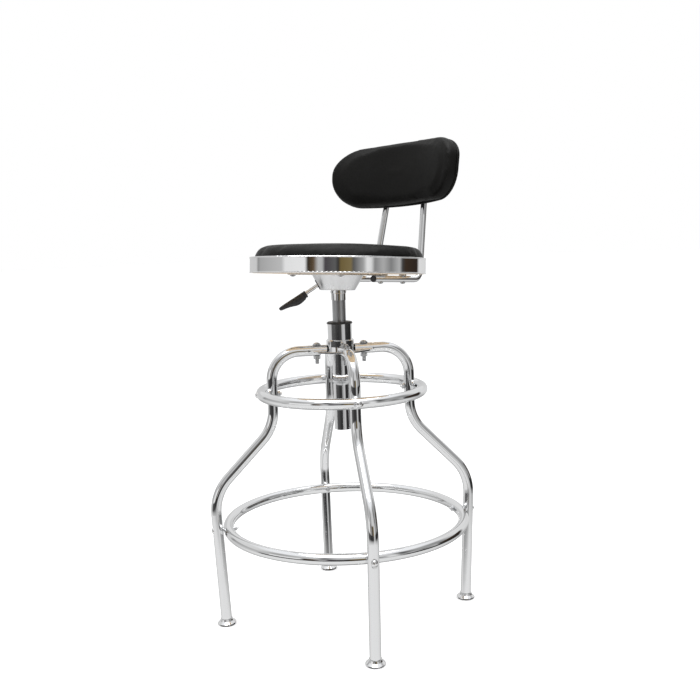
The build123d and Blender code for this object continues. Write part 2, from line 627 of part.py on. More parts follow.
def back_rod(side):
    """Bent round bar with two screw holes through its lower stretch."""
    start, bend, end = back_rod_points(side)
    bend_plane = Plane(origin=bend, x_dir=start - bend, z_dir=(start - bend).cross(end - bend))
    with BuildPart() as rod:
        with BuildLine(bend_plane) as path:
            FilletPolyline(start, bend, end, radius=BACK_ROD_BEND)
        with BuildSketch(Plane(origin=path.line @ 0, z_dir=path.line % 0)):
            Circle(BACK_ROD_R)
        sweep()
        with BuildSketch(seat_plane.offset(rod_z)):
            with Locations(*[(side * BACK_ROD_X, y) for y in ROD_SCREW_YS]):
                Circle(3.2)
        extrude(amount=BACK_ROD_R + 1, both=True, mode=Mode.SUBTRACT)
    return rod


backrest_rod_left = back_rod(1)
backrest_rod_right = back_rod(-1)

with BuildPart() as rod_end_caps:
    for side in (1, -1):
        cap_plane = Plane(
            origin=seat_plane.from_local_coords(Vector(side * BACK_ROD_X, BACK_ROD_START_Y - 0.1, rod_z)),
            x_dir=(1, 0, 0), z_dir=-seat_plane.y_dir,
        )
        with BuildSketch(cap_plane):
            Circle(BACK_ROD_R)
        extrude(amount=3.6)
    fillet(edges().group_by(Axis.Y)[0], radius=1.6)

rod_screw = dome_bolt(3.0, 2 * BACK_ROD_R + PLATE_THICK + BOARD_THICK - 3, 5.6, 3.6)
with BuildPart() as rod_screws:
    for x, y in rod_spots:
        add(seat_plane * Pos(x, y, rod_z - BACK_ROD_R - 0.05) * Rot(180, 0, 0) * rod_screw)

with BuildPart() as rod_spacers:
    with BuildSketch(seat_plane.offset(-PLATE_THICK)):
        with Locations((BACK_ROD_X, ROD_SCREW_YS[1]), (-BACK_ROD_X, ROD_SCREW_YS[1])):
            Circle(8)
            Circle(3.2, mode=Mode.SUBTRACT)
    extrude(amount=PLATE_THICK)

# ---- Backrest ----
back_plane = Plane(origin=(0, back_y, BACK_Z), x_dir=(1, 0, 0), z_dir=(0, back_sin, back_cos))
back_front = Plane(origin=back_plane.origin, x_dir=(1, 0, 0), z_dir=-back_plane.y_dir)
arc_centre_y = BACK_REAR - BACK_OUTER_R
pad_outer = BACK_OUTER_R - BACK_BOARD - 0.3
back_middle = (BACK_OUTER_R + pad_outer - BACK_PAD) / 2


def curved_slab(outer, thick, width, height, corner_r):
    """Slab bent to an arc in plan: its rounded outline is thickened square to the arc."""
    arc_r = outer - thick / 2
    with BuildPart() as drum:
        with BuildSketch(back_plane.offset(-height)):
            with Locations((0, arc_centre_y)):
                Circle(arc_r)
        extrude(amount=2 * height)
    with BuildPart() as window:
        with BuildSketch(back_front):
            RectangleRounded(width * arc_r / back_middle, height, corner_r)
        extrude(amount=BACK_OUTER_R / 2)
    middle = drum.faces().filter_by(GeomType.CYLINDER)[0] & window.part
    with BuildPart() as slab:
        thicken(middle, amount=thick / 2, both=True)
    return slab


def round_edge(slab, face_r, radius):
    """Rounds the outline of the slab's curved face that has this radius."""
    with BuildPart() as rounded:
        add(slab.part)
        curved = [face for face in faces().filter_by(GeomType.CYLINDER) if abs(face.radius - face_r) < 0.01]
        fillet(curved[0].edges(), radius=radius)
    return rounded


backrest_pad = round_edge(
    curved_slab(pad_outer, BACK_PAD, BACK_WIDTH, BACK_HEIGHT, BACK_CORNER_R),
    pad_outer - BACK_PAD, BACK_PAD_EDGE,
)
board_blank = round_edge(
    curved_slab(BACK_OUTER_R, BACK_BOARD, BACK_WIDTH - 8, BACK_HEIGHT - 8, BACK_CORNER_R - 4),
    BACK_OUTER_R, BACK_BOARD_EDGE,
)


def rod_x_at(local_z):
    """Sideways place of a rod at a height on the backrest."""
    along = rise / back_cos + local_z
    return BACK_ROD_X + (BACK_ROD_TOP_X - BACK_ROD_X) * along / rod_end_rise


tab_x = rod_x_at(0)
tab_turn = degrees(asin(tab_x / BACK_OUTER_R))
tab_thick = 5.0
tab_holes = [(x, z) for x in (-14.5, 14.5) for z in (-18.0, 18.0)]


def tab_plane(side):
    """Plane on the board's rear face behind a rod: x sideways, z rearward, y up the lean."""
    depth = arc_centre_y + sqrt(BACK_OUTER_R ** 2 - tab_x ** 2)
    origin = back_plane.from_local_coords(Vector(side * tab_x, depth, 0))
    rear = back_plane.y_dir.rotate(Axis((0, 0, 0), back_plane.z_dir), -side * tab_turn)
    return Plane(origin=origin, x_dir=back_plane.z_dir.cross(rear), z_dir=rear)


def backrest_tab(side):
    """Flat steel plate behind the board, grooved for the rod welded to it."""
    start, bend, end = back_rod_points(side)
    with BuildPart() as tab:
        with BuildSketch(tab_plane(side).offset(0.6)):
            RectangleRounded(TAB_WIDTH, TAB_HEIGHT, 6)
            with Locations(*tab_holes):
                Circle(2.7, mode=Mode.SUBTRACT)
        extrude(amount=tab_thick - 0.6)
        add(rod_between(bend, end + (end - bend) * 0.1, BACK_ROD_R + 0.05), mode=Mode.SUBTRACT)
    return tab


backrest_tab_left = backrest_tab(1)
backrest_tab_right = backrest_tab(-1)
tab_screw = dome_bolt(2.5, tab_thick + BACK_BOARD - 2, 4.8, 3.0)
with BuildPart() as backrest_screws:
    for side in (1, -1):
        for x, z in tab_holes:
            add(tab_plane(side) * Pos(x, z, tab_thick + 0.05) * tab_screw)
tab_screw_holes = [
    tab_plane(side) * Pos(x, z, -BACK_BOARD / 2) for side in (1, -1) for x, z in tab_holes
]
with BuildPart() as backrest_board:
    add(board_blank.part)
    with Locations(*tab_screw_holes):
        Cylinder(2.6, BACK_BOARD + 4, mode=Mode.SUBTRACT)

# ---- Lever ----
lever_tip = HANDLE_START + 22
with BuildPart() as lever_rod:
    with BuildLine(lever_plane) as lever_path:
        FilletPolyline((-6, LEVER_LEVEL), (LEVER_BEND_AT, LEVER_LEVEL),
                       (lever_tip, lever_height(lever_tip)), radius=12)
    with BuildSketch(Plane(origin=lever_path.line @ 0, z_dir=lever_path.line % 0)):
        Circle(LEVER_R)
    sweep()
    with BuildSketch(lever_plane):
        with Locations((PIVOT_AT, lever_height(PIVOT_AT))):
            Circle(PIVOT_R + RUNNING)
    extrude(amount=LEVER_R + 1, both=True, mode=Mode.SUBTRACT)

ear_inner, ear_thick, bracket_web = LEVER_R + 0.5, 2.0, 1.2
with BuildPart() as lever_bracket:
    with BuildSketch(lever_plane):
        with BuildLine():
            Polyline((PIVOT_AT - 7, dish_top), (PIVOT_AT - 4.5, lever_height(PIVOT_AT) - 4.5),
                     (PIVOT_AT + 4.5, lever_height(PIVOT_AT) - 4.5), (PIVOT_AT + 7, dish_top), close=True)
        make_face()
        with Locations((PIVOT_AT, lever_height(PIVOT_AT))):
            Circle(PIVOT_R, mode=Mode.SUBTRACT)
    extrude(amount=ear_inner + ear_thick, both=True)
    with BuildSketch(lever_plane):
        with Locations((PIVOT_AT, dish_top - bracket_web - 12)):
            Rectangle(40, 24)
    extrude(amount=ear_inner, both=True, mode=Mode.SUBTRACT)

with BuildPart() as lever_pivot_pin:
    with BuildSketch(lever_plane.offset(-ear_inner - ear_thick - 1)):
        with Locations((PIVOT_AT, lever_height(PIVOT_AT))):
            Circle(PIVOT_R)
    extrude(amount=2 * (ear_inner + ear_thick + 1))

handle_axis = Plane(
    origin=lever_plane.from_local_coords(Vector(HANDLE_START, lever_height(HANDLE_START), 0)),
    x_dir=lever_plane.from_local_coords(Vector(HANDLE_END, lever_height(HANDLE_END), 0))
    - lever_plane.from_local_coords(Vector(HANDLE_START, lever_height(HANDLE_START), 0)),
    z_dir=lever_plane.z_dir,
)
handle_length = (HANDLE_END - HANDLE_START) / cos(radians(LEVER_SLOPE))
with BuildPart() as lever_handle:
    with BuildSketch(handle_axis):
        with BuildLine():
            Line((0, -7.7), (0, 6.2))
            Spline((0, 6.2), (handle_length * 0.5, 6.5), (handle_length, 5.4))
            Line((handle_length, 5.4), (handle_length, 0.8))
            Spline((handle_length, 0.8), (handle_length * 0.7, -2.9), (handle_length * 0.55, -6.6),
                   (handle_length * 0.34, -10.3), (0, -7.7))
        make_face()
    extrude(amount=HANDLE_WIDTH / 2, both=True)
    fillet(edges().filter_by(GeomType.BSPLINE), radius=2)
    with BuildSketch(Plane(origin=handle_axis.origin, x_dir=handle_axis.y_dir, z_dir=handle_axis.x_dir)):
        Circle(LEVER_R + 0.05)
    extrude(amount=(lever_tip - HANDLE_START) / cos(radians(LEVER_SLOPE)) + 0.5, mode=Mode.SUBTRACT)

# ---- Names and files ----
pieces.update(
    foot_glide_cups=foot_glide_cups, foot_glide_pads=foot_glide_pads,
    upper_foot_ring=upper_foot_ring, lower_foot_ring=lower_foot_ring,
    upper_ring_bolts=upper_ring_bolts, upper_ring_nuts=upper_ring_nuts,
    lower_ring_bolts=lower_ring_bolts, lower_ring_nuts=lower_ring_nuts,
    hub_plate=hub_plate, hub_collar=hub_collar, column_sleeve=column_sleeve,
    column_lower_tube=column_lower_tube, column_end_cap=column_end_cap, column_bush=column_bush,
    leg_clamp_bolts=leg_clamp_bolts, leg_clamp_washers=leg_clamp_washers, leg_clamp_nuts=leg_clamp_nuts,
    bearing_lower_race=bearing_lower_race, bearing_balls=bearing_balls,
    bearing_upper_race=bearing_upper_race, bump_ring=bump_ring,
    rod_retaining_clip=rod_retaining_clip, piston_rod=piston_rod, piston=piston,
    gas_cylinder=gas_cylinder, cylinder_end_guide=cylinder_end_guide, valve_pin=valve_pin,
    taper_socket=taper_socket, mechanism_dish=mechanism_dish, lever_grommet=lever_grommet,
    mount_plate=mount_plate, seat_board=seat_board, t_nuts=t_nuts, seat_band=seat_band,
    seat_cushion=seat_cushion, plate_screws=plate_screws,
    backrest_rod_left=backrest_rod_left, backrest_rod_right=backrest_rod_right,
    rod_end_caps=rod_end_caps, rod_screws=rod_screws, rod_spacers=rod_spacers,
    backrest_pad=backrest_pad, backrest_board=backrest_board,
    backrest_tab_left=backrest_tab_left, backrest_tab_right=backrest_tab_right,
    backrest_screws=backrest_screws,
    lever_rod=lever_rod, lever_bracket=lever_bracket, lever_pivot_pin=lever_pivot_pin,
    lever_handle=lever_handle,
)
for name, piece in pieces.items():
    piece.part.label = name
    export_step(piece.part, f"parts/{name}.step")
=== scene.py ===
import json
import math

import bmesh
import bpy
from mathutils import Matrix, Vector, noise


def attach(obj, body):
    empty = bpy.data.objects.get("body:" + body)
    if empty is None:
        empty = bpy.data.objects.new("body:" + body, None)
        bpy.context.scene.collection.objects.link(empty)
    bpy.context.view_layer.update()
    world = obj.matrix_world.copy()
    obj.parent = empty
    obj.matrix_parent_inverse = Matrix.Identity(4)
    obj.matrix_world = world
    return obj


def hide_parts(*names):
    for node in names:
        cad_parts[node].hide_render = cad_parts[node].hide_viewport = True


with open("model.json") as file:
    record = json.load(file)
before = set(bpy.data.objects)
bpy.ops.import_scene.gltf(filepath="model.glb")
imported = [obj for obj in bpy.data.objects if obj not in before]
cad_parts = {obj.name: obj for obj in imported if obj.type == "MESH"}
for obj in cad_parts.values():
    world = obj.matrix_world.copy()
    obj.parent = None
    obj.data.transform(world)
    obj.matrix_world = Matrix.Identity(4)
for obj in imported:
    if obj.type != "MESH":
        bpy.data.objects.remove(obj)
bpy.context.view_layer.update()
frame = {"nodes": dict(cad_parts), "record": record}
nodes = frame["nodes"]

# ---- View: the camera stands to the sitter's front left, a little above the seat ----
VIEW_TURN = math.radians(41.0)          # azimuth of the view direction, from +Y towards -X
VIEW_YAW = math.radians(0.18)
VIEW_PITCH = math.radians(6.97)         # looking down
VIEW_ROLL = math.radians(-1.89)
VIEW_SIDE = 0.0141
VIEW_DISTANCE = 1.8927
VIEW_HEIGHT = 0.7997
LENS = 46.8

FLOOR_GLOW = 0.35                       # lifts the pale floor towards the white backdrop

SEAT_TILT = math.radians(3.45)
SEAT_HEIGHT = 0.7285                    # underside of the seat board on the column axis


# ---- Node helpers ----
def new_material(name):
    """An empty node material with its Principled shader."""
    material = bpy.data.materials.new(name)
    material.use_nodes = True
    return material, material.node_tree, material.node_tree.nodes["Principled BSDF"]


def add_node(tree, kind, **settings):
    """A shader node with attributes or input values set by name."""
    node = tree.nodes.new(kind)
    for key, value in settings.items():
        if key in node.inputs:
            node.inputs[key].default_value = value
        else:
            setattr(node, key, value)
    return node


def object_coords(tree):
    return add_node(tree, "ShaderNodeTexCoord").outputs["Object"]


def noise_value(tree, coords, scale, detail=3.0, roughness=0.5, squeeze=None):
    """Noise in metres of the object's own space; squeeze scales its axes."""
    if squeeze:
        mapping = add_node(tree, "ShaderNodeMapping")
        mapping.inputs["Scale"].default_value = squeeze
        tree.links.new(coords, mapping.inputs["Vector"])
        coords = mapping.outputs["Vector"]
    node = add_node(tree, "ShaderNodeTexNoise", Scale=scale, Detail=detail, Roughness=roughness)
    tree.links.new(coords, node.inputs["Vector"])
    return node.outputs["Fac"]


def remap(tree, value, low, high, from_low=0.3, from_high=0.7):
    node = add_node(tree, "ShaderNodeMapRange")
    for key, number in (("From Min", from_low), ("From Max", from_high), ("To Min", low), ("To Max", high)):
        node.inputs[key].default_value = number
    tree.links.new(value, node.inputs["Value"])
    return node.outputs["Result"]


def mix_colours(tree, factor, first, second):
    node = add_node(tree, "ShaderNodeMix", data_type="RGBA")
    tree.links.new(factor, node.inputs["Factor"])
    node.inputs[6].default_value = (*first, 1)
    node.inputs[7].default_value = (*second, 1)
    return node.outputs[2]


def add_bump(tree, shader, height, strength, distance, after=None):
    node = add_node(tree, "ShaderNodeBump", Strength=strength, Distance=distance)
    tree.links.new(height, node.inputs["Height"])
    if after is not None:
        tree.links.new(after, node.inputs["Normal"])
    tree.links.new(node.outputs["Normal"], shader.inputs["Normal"])
    return node.outputs["Normal"]


# ---- Materials ----
def metal(name, colour, rough, rough_spread, wave=0.0, fine=0.0, tint=0.03):
    """Bare or plated metal: smudges in its roughness, a faint waviness and fine marks."""
    material, tree, shader = new_material(name)
    coords = object_coords(tree)
    shader.inputs["Metallic"].default_value = 1.0
    smudge = noise_value(tree, coords, 28, 5, 0.6)
    tree.links.new(remap(tree, smudge, rough, rough + rough_spread), shader.inputs["Roughness"])
    darker = tuple(c * (1 - tint) for c in colour)
    tree.links.new(mix_colours(tree, noise_value(tree, coords, 9, 4), colour, darker),
                   shader.inputs["Base Color"])
    normal = None
    if wave:
        normal = add_bump(tree, shader, noise_value(tree, coords, 24, 2), wave, 0.002)
    if fine:
        add_bump(tree, shader, noise_value(tree, coords, 900, 3), fine, 0.0003, normal)
    return material


def plastic(name, colour, rough, grain_scale, grain, metallic=0.0):
    """Moulded plastic or rubber with a fine textured surface."""
    material, tree, shader = new_material(name)
    coords = object_coords(tree)
    shader.inputs["Metallic"].default_value = metallic
    shader.inputs["Specular IOR Level"].default_value = 0.45
    patches = noise_value(tree, coords, 40, 4)
    tree.links.new(remap(tree, patches, rough - 0.06, rough + 0.08), shader.inputs["Roughness"])
    lighter = tuple(min(1.0, c * 1.35 + 0.004) for c in colour)
    tree.links.new(mix_colours(tree, patches, colour, lighter), shader.inputs["Base Color"])
    add_bump(tree, shader, noise_value(tree, coords, grain_scale, 2), grain, 0.0004)
    return material


def vinyl(name):
    """Black upholstery vinyl: pebbled grain, soft broad creases and uneven sheen."""
    material, tree, shader = new_material(name)
    coords = object_coords(tree)
    warp = add_node(tree, "ShaderNodeTexNoise", Scale=260, Detail=2)
    tree.links.new(coords, warp.inputs["Vector"])
    shift = add_node(tree, "ShaderNodeVectorMath", operation="SCALE")
    shift.inputs["Scale"].default_value = 0.0011
    tree.links.new(warp.outputs["Color"], shift.inputs[0])
    moved = add_node(tree, "ShaderNodeVectorMath", operation="ADD")
    tree.links.new(coords, moved.inputs[0])
    tree.links.new(shift.outputs["Vector"], moved.inputs[1])
    pebbles = add_node(tree, "ShaderNodeTexVoronoi", Scale=720, feature="DISTANCE_TO_EDGE")
    tree.links.new(moved.outputs["Vector"], pebbles.inputs["Vector"])
    grain = remap(tree, pebbles.outputs["Distance"], 0, 1, 0.0, 0.35)
    broad = noise_value(tree, coords, 7, 4)
    tree.links.new(mix_colours(tree, broad, (0.0036, 0.0035, 0.0031), (0.0062, 0.0059, 0.0053)),
                   shader.inputs["Base Color"])
    worn = noise_value(tree, coords, 16, 5, 0.65)
    tree.links.new(remap(tree, worn, 0.38, 0.52), shader.inputs["Roughness"])
    shader.inputs["Specular IOR Level"].default_value = 0.14
    normal = add_bump(tree, shader, broad, 0.12, 0.004)
    add_bump(tree, shader, grain, 0.35, 0.00025, normal)
    return material


def plywood(name):
    """Birch plywood: stretched grain between two wood tones."""
    material, tree, shader = new_material(name)
    coords = object_coords(tree)
    grain = noise_value(tree, coords, 30, 6, 0.6, (1, 9, 60))
    tree.links.new(mix_colours(tree, remap(tree, grain, 0, 1), (0.50, 0.36, 0.22), (0.68, 0.53, 0.35)),
                   shader.inputs["Base Color"])
    shader.inputs["Roughness"].default_value = 0.62
    add_bump(tree, shader, grain, 0.25, 0.0006)
    return material


materials = {
    "chrome_tube": metal("chrome_tube", (0.86, 0.865, 0.87), 0.035, 0.05, wave=0.035),
    "chrome_trim": metal("chrome_trim", (0.86, 0.862, 0.865), 0.03, 0.05, wave=0.03),
    "zinc_fastener": metal("zinc_fastener", (0.74, 0.75, 0.76), 0.2, 0.16, fine=0.12, tint=0.12),
    "inner_steel": metal("inner_steel", (0.55, 0.56, 0.57), 0.22, 0.12, fine=0.1, tint=0.1),
    "lift_cylinder": metal("lift_cylinder", (0.50, 0.51, 0.52), 0.26, 0.1, fine=0.12, tint=0.08),
    "light_casting": metal("light_casting", (0.82, 0.825, 0.83), 0.24, 0.12, fine=0.05, tint=0.04),
    "aluminium_part": metal("aluminium_part", (0.72, 0.73, 0.74), 0.2, 0.12, fine=0.1),
    "black_plastic": plastic("black_plastic", (0.016, 0.016, 0.017), 0.42, 1400, 0.25),
    "black_rubber": plastic("black_rubber", (0.022, 0.022, 0.022), 0.7, 900, 0.35),
    "vinyl": vinyl("vinyl"),
    "plywood": plywood("plywood"),
}
for row in frame["record"]["subparts"]:
    mesh = nodes[row["node"]].data
    mesh.materials.clear()
    mesh.materials.append(materials[row["material_slot"]])


# ---- Upholstery and lever grip ----
PAD_PRESSURE = 4.0
PAD_CAP = 0.0035                        # most that the cloth step may move a point
CLOTH_FRAMES = 20

CUSHION_R = 0.1788                      # just inside the chrome band
CUSHION_LOW = 0.0128                    # cushion's underside above the underside of its board
BAND_TOP = 0.0327
CROWN = 0.0617
CROWN_FALL = 0.009                      # fall of the crown from the middle to the shoulder
SHOULDER = 0.019
SHOULDER_FALL = 0.0185
FRONT_ROLL = 0.036                      # the front edge rolls down over a longer stretch
FRONT_FALL = 0.0195

BACK_LEAN = math.radians(13.14)
BACK_ROLL = math.radians(1.9)           # fitted to the backrest's outline; the cause is not known
BACK_CENTRE = Vector((0, 0.2264, 0.9390))
BACK_WIDTH, BACK_HEIGHT = 0.3328, 0.1446
BACK_CORNERS = {1: 0.0570, -1: 0.0685}  # corner radius at the left and right end
BACK_CROWN = 0.0158                     # the top edge falls this much from the middle to the ends
BACK_ARC = 0.325
BACK_THICK = 0.0367
PANEL_THICK = 0.0075


def smoothstep(low, high, value):
    t = max(0.0, min(1.0, (value - low) / (high - low)))
    return t * t * (3 - 2 * t)


def skin_rings(name, rings):
    """Closed mesh through rings of equal count, a fan closing each end."""
    mesh = bpy.data.meshes.new(name)
    bm = bmesh.new()
    loops = [[bm.verts.new(point) for point in ring] for ring in rings]
    count = len(rings[0])
    for first, second in zip(loops, loops[1:]):
        for i in range(count):
            j = (i + 1) % count
            bm.faces.new((first[i], first[j], second[j], second[i]))
    for loop, flip in ((loops[0], True), (loops[-1], False)):
        middle = bm.verts.new(sum((v.co for v in loop), Vector()) / count)
        for i in range(count):
            j = (i + 1) % count
            bm.faces.new((loop[j], loop[i], middle) if flip else (loop[i], loop[j], middle))
    bmesh.ops.recalc_face_normals(bm, faces=bm.faces)
    bm.to_mesh(mesh)
    bm.free()
    piece = bpy.data.objects.new(name, mesh)
    bpy.context.scene.collection.objects.link(piece)
    return piece


def apply_modifiers(piece):
    """Bakes the piece's modifiers into its mesh at the current frame."""
    graph = bpy.context.evaluated_depsgraph_get()
    mesh = bpy.data.meshes.new_from_object(piece.evaluated_get(graph))
    piece.modifiers.clear()
    piece.data = mesh


def puff(piece, voxel):
    """Remeshes the pad and runs it as cloth under pressure, each move cut to the cap.

    Nearly every point would go further, so the cloth gives the direction and the cap the distance.
    """
    remesh = piece.modifiers.new("remesh", "REMESH")
    remesh.mode = "VOXEL"
    remesh.voxel_size = voxel
    apply_modifiers(piece)
    start = [v.co.copy() for v in piece.data.vertices]
    cloth = piece.modifiers.new("cloth", "CLOTH")
    cloth.settings.quality = 5
    cloth.settings.mass = 0.35
    cloth.settings.use_pressure = True
    cloth.settings.uniform_pressure_force = PAD_PRESSURE
    cloth.settings.effector_weights.gravity = 0
    cloth.settings.tension_stiffness = 18
    cloth.settings.compression_stiffness = 18
    cloth.settings.shear_stiffness = 6
    cloth.settings.bending_stiffness = 1.2
    cloth.point_cache.frame_start = 1
    cloth.point_cache.frame_end = CLOTH_FRAMES
    for step in range(1, CLOTH_FRAMES + 1):
        bpy.context.scene.frame_set(step)
    apply_modifiers(piece)
    bpy.context.scene.frame_set(1)
    for vertex, place in zip(piece.data.vertices, start):
        move = vertex.co - place
        if move.length > PAD_CAP:
            vertex.co = place + move * (PAD_CAP / move.length)


def relax(piece, factor, repeat):
    smooth = piece.modifiers.new("smooth", "SMOOTH")
    smooth.factor = factor
    smooth.iterations = repeat
    apply_modifiers(piece)


def refine(piece, levels=1):
    subdivide = piece.modifiers.new("subdivide", "SUBSURF")
    subdivide.levels = subdivide.render_levels = levels
    apply_modifiers(piece)
    for face in piece.data.polygons:
        face.use_smooth = True


def seat_point(x, y, height):
    """Seat-board coordinates to the shared frame."""
    return Vector((x, y * math.cos(SEAT_TILT) + height * math.sin(SEAT_TILT),
                   SEAT_HEIGHT - y * math.sin(SEAT_TILT) + height * math.cos(SEAT_TILT)))


def seat_local(point):
    y, z = point.y, point.z - SEAT_HEIGHT
    return (point.x, y * math.cos(SEAT_TILT) - z * math.sin(SEAT_TILT),
            y * math.sin(SEAT_TILT) + z * math.cos(SEAT_TILT))


def cushion_height(r, angle):
    """Height of the cushion's top: a low crown, a tight shoulder, and a longer roll at the front."""
    edge = CUSHION_R - r
    height = CROWN - CROWN_FALL * (r / CUSHION_R) ** 2
    if edge < SHOULDER:
        height -= SHOULDER_FALL * (1 - edge / SHOULDER) ** 3.33
    if edge < FRONT_ROLL:
        height -= FRONT_FALL * smoothstep(-0.1, 0.75, -math.sin(angle)) * (1 - edge / FRONT_ROLL) ** 2.5
    return height


def make_cushion():
    around = [2 * math.pi * i / 160 for i in range(160)]
    rings = []

    def ring(r, height):
        rings.append([seat_point(r * math.cos(a), r * math.sin(a), height(r, a)) for a in around])

    for r in (0.03, 0.08, 0.13, CUSHION_R - 0.006, CUSHION_R - 0.001):
        ring(r, lambda r, a: CUSHION_LOW + 0.0012)
    for share in (0.35, 0.7):
        ring(CUSHION_R - 0.0006, lambda r, a, share=share:
             CUSHION_LOW + share * (cushion_height(CUSHION_R, a) - CUSHION_LOW))
    for edge in (0.0008, 0.002, 0.004, 0.006, 0.009, 0.012, 0.016, 0.021, 0.03, 0.045, 0.07, 0.1, 0.14, 0.17):
        ring(CUSHION_R - edge, lambda r, a: cushion_height(r, a) - 0.0034)
    piece = skin_rings("seat_cushion_cover", rings)
    puff(piece, 0.0045)
    relax(piece, 0.5, 4)
    refine(piece)
    for vertex in piece.data.vertices:
        x, y, height = seat_local(vertex.co)
        r = math.hypot(x, y)
        angle = math.atan2(y, x)
        if r < 1e-6:
            continue
        # small puckers where the cover is pulled down into the band
        edge = smoothstep(0.030, 0.002, CUSHION_R - r) * smoothstep(0.026, 0.036, height)
        pucker = noise.noise(Vector((math.cos(angle) * 9, math.sin(angle) * 9, height * 30)))
        height += 0.0011 * edge * pucker
        soft = noise.noise(Vector((x * 11, y * 11, 0.4)))
        height += 0.0007 * soft * smoothstep(0.03, 0.05, height)
        limit = 0.1789 + 0.0009 * smoothstep(BAND_TOP + 0.0015, BAND_TOP + 0.008, height)
        shrink = min(1.0, limit / r)
        vertex.co = seat_point(x * shrink, y * shrink, max(height, CUSHION_LOW))
    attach(piece, "seat")
    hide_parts("seat_cushion")
    piece.data.materials.append(materials["vinyl"])


def back_outline(inset, count=28, straight=14):
    """Outline of the backrest: round ends, its top edge gently crowned."""
    half_w, half_h = BACK_WIDTH / 2 - inset, BACK_HEIGHT / 2 - inset
    corners = {side: min(r - inset, half_h - 0.0005) for side, r in BACK_CORNERS.items()}
    points = []
    for quarter, (sx, sz) in enumerate(((1, 1), (-1, 1), (-1, -1), (1, -1))):
        corner = corners[sx]
        for k in range(count):
            a = math.pi / 2 * (quarter + k / (count - 1))
            points.append((sx * (half_w - corner) + corner * math.cos(a),
                           sz * (half_h - corner) + corner * math.sin(a)))
        if quarter in (0, 2):
            start, end = sx * (half_w - corner), -sx * (half_w - corners[-sx])
            for k in range(1, straight):
                points.append((start + (end - start) * k / straight, sz * half_h))
    out = []
    for u, v in points:
        if v > 0:
            v -= BACK_CROWN * (u / half_w) ** 2 * v / half_h
        out.append((u, v))
    return out


def back_point(u, v, depth):
    """Backrest coordinates: along its width, up its height, and back from its middle surface."""
    turn = math.asin(max(-1.0, min(1.0, u / BACK_ARC)))
    r = BACK_ARC + depth
    back = r * math.cos(turn) - BACK_ARC
    side = r * math.sin(turn) * math.cos(BACK_ROLL) - v * math.sin(BACK_ROLL)
    rise = v * math.cos(BACK_ROLL) + r * math.sin(turn) * math.sin(BACK_ROLL)
    return BACK_CENTRE + Vector((side,
                                 back * math.cos(BACK_LEAN) + rise * math.sin(BACK_LEAN),
                                 rise * math.cos(BACK_LEAN) - back * math.sin(BACK_LEAN)))


def back_slab(name, layers, front_crown):
    """Pad through (inset, depth) layers from the rear to the front, crowned by front_crown."""
    rings = []
    first_inset, first_depth = layers[0]
    for scale in (0.15, 0.4, 0.7, 0.9):
        rings.append([back_point(u * scale, v * scale, first_depth) for u, v in back_outline(first_inset)])
    for inset, depth in layers:
        rings.append([back_point(u, v, depth) for u, v in back_outline(inset)])
    last_inset, last_depth = layers[-1]
    for scale in (0.93, 0.82, 0.66, 0.45, 0.2):
        rings.append([back_point(u * scale, v * scale, last_depth - front_crown * (1 - scale ** 2))
                      for u, v in back_outline(last_inset)])
    return skin_rings(name, rings)


def make_backrest():
    rear = BACK_THICK / 2
    front = -BACK_THICK / 2
    split = rear - PANEL_THICK
    pad = back_slab("backrest_cover", [
        (0.0050, split - 0.0003), (0.0020, split - 0.0008), (0.0004, split - 0.0022), (0.0, split - 0.0060),
        (0.0, front + 0.0110), (0.0008, front + 0.0065), (0.0032, front + 0.0034), (0.0070, front + 0.0016),
        (0.0120, front + 0.0008), (0.0200, front + 0.0004)], 0.0008)
    puff(pad, 0.0042)
    relax(pad, 0.5, 3)
    refine(pad)
    noise_shift = Vector((3.1, 0.7, 1.9))
    for vertex in pad.data.vertices:
        vertex.co += Vector((0, -1, 0)) * 0.0006 * noise.noise(vertex.co * 14 + noise_shift)
    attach(pad, "seat")
    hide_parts("backrest_pad")
    pad.data.materials.append(materials["vinyl"])

    panel = back_slab("backrest_rear_panel", [
        (0.0060, rear), (0.0044, rear - 0.0002), (0.0030, rear - 0.0010), (0.0020, rear - 0.0024),
        (0.0016, rear - 0.0045), (0.0022, split + 0.0006), (0.0040, split)], 0)
    refine(panel)
    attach(panel, "seat")
    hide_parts("backrest_board")
    panel.data.materials.append(materials["vinyl"])


LEVER_TURN = math.radians(225)
LEVER_SLOPE = math.radians(34.7)
LEVER_BEND = (0.0193, -0.0086)          # along and up from the seat board's underside
GRIP_START, GRIP_END = 0.0656, 0.1194
# share of the grip's length, top edge, bottom edge, half its width
GRIP_SECTIONS = [
    (0.0, 0.0052, -0.0072, 0.0062), (0.006, 0.0062, -0.0086, 0.0076), (0.045, 0.0066, -0.0092, 0.0082),
    (0.055, 0.0057, -0.0080, 0.0074), (0.08, 0.0057, -0.0082, 0.0074), (0.09, 0.0064, -0.0096, 0.0086),
    (0.16, 0.0062, -0.0110, 0.0093), (0.25, 0.0062, -0.0119, 0.0098), (0.34, 0.0063, -0.0122, 0.0100),
    (0.43, 0.0065, -0.0116, 0.0100), (0.50, 0.0066, -0.0100, 0.0099), (0.57, 0.0067, -0.0080, 0.0098),
    (0.65, 0.0068, -0.0059, 0.0096), (0.74, 0.0069, -0.0041, 0.0093), (0.83, 0.0070, -0.0028, 0.0088),
    (0.91, 0.0069, -0.0018, 0.0079), (0.96, 0.0065, -0.0006, 0.0068), (0.99, 0.0056, 0.0008, 0.0050)]


